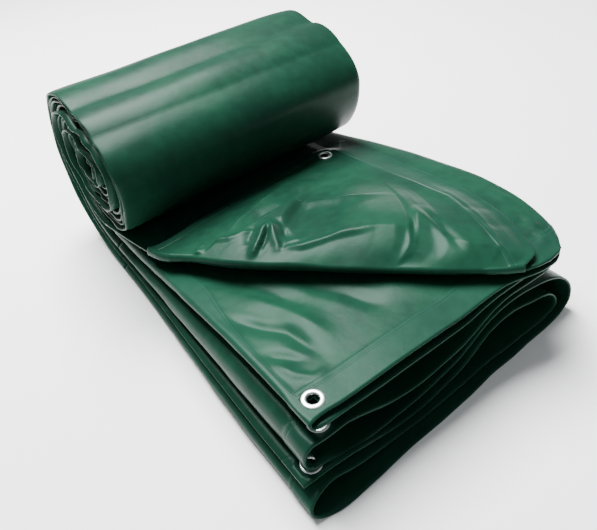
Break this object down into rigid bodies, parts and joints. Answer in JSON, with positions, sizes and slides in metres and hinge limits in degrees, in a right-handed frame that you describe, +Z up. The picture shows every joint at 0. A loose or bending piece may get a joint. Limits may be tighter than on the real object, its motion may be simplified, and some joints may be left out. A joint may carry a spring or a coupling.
{
  "type": "folded tarp",
  "caption": "Large green tarp folded back and forth into a strip, rolled up at its far end, with a corner turned back and eyelets in its hem.",
  "frame": {"origin": "centre of the footprint, on the surface the tarp lies on", "axes": "+Y from the loose front edge of the strip towards the roll, +X along the roll to the side of the wide folds, +Z up"},
  "size_m": [0.5635, 0.8812, 0.3413],
  "materials": {
    "cloth": "glossy coating",
    "eyelet": "satin"
  },
  "bodies": {
    "root": {"tarp": "cloth", "hem_flap": "cloth", "hem_upper": "cloth", "hem_middle": "cloth", "hem_lower": "cloth", "eyelet_flap": "eyelet", "eyelet_upper": "eyelet", "eyelet_middle": "eyelet", "eyelet_lower": "eyelet"}
  },
  "joints": []
}
